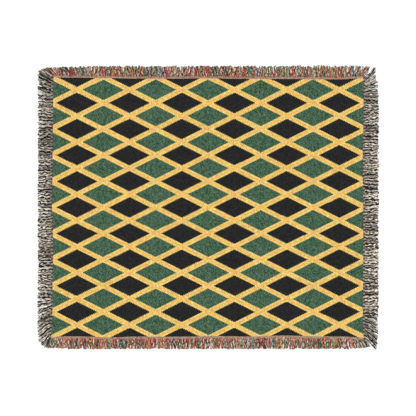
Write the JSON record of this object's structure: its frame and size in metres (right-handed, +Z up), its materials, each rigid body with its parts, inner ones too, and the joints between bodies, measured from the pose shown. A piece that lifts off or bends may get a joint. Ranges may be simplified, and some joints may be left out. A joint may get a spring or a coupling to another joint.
{
  "type": "woven throw blanket",
  "caption": "Flat-laid woven cotton throw with a lozenge lattice weave and a cut-yarn fringe along all four edges.",
  "frame": {"origin": "on the floor, under the middle of the whole blanket with its fringe", "axes": "+X along the longer side, towards the picture's right; +Y towards the picture's top; +Z up out of the cloth's face"},
  "size_m": [1.524, 1.27, 0.0042],
  "materials": {
    "woven_cotton": "matt jacquard weave",
    "warp_yarn": "matt cotton yarn, many colours",
    "weft_yarn": "matt cotton yarn, black and cream"
  },
  "bodies": {
    "root": {"woven_panel": "woven_cotton", "warp_fringe_far": "warp_yarn", "warp_fringe_near": "warp_yarn", "weft_fringe_left": "weft_yarn", "weft_fringe_right": "weft_yarn"}
  },
  "joints": []
}
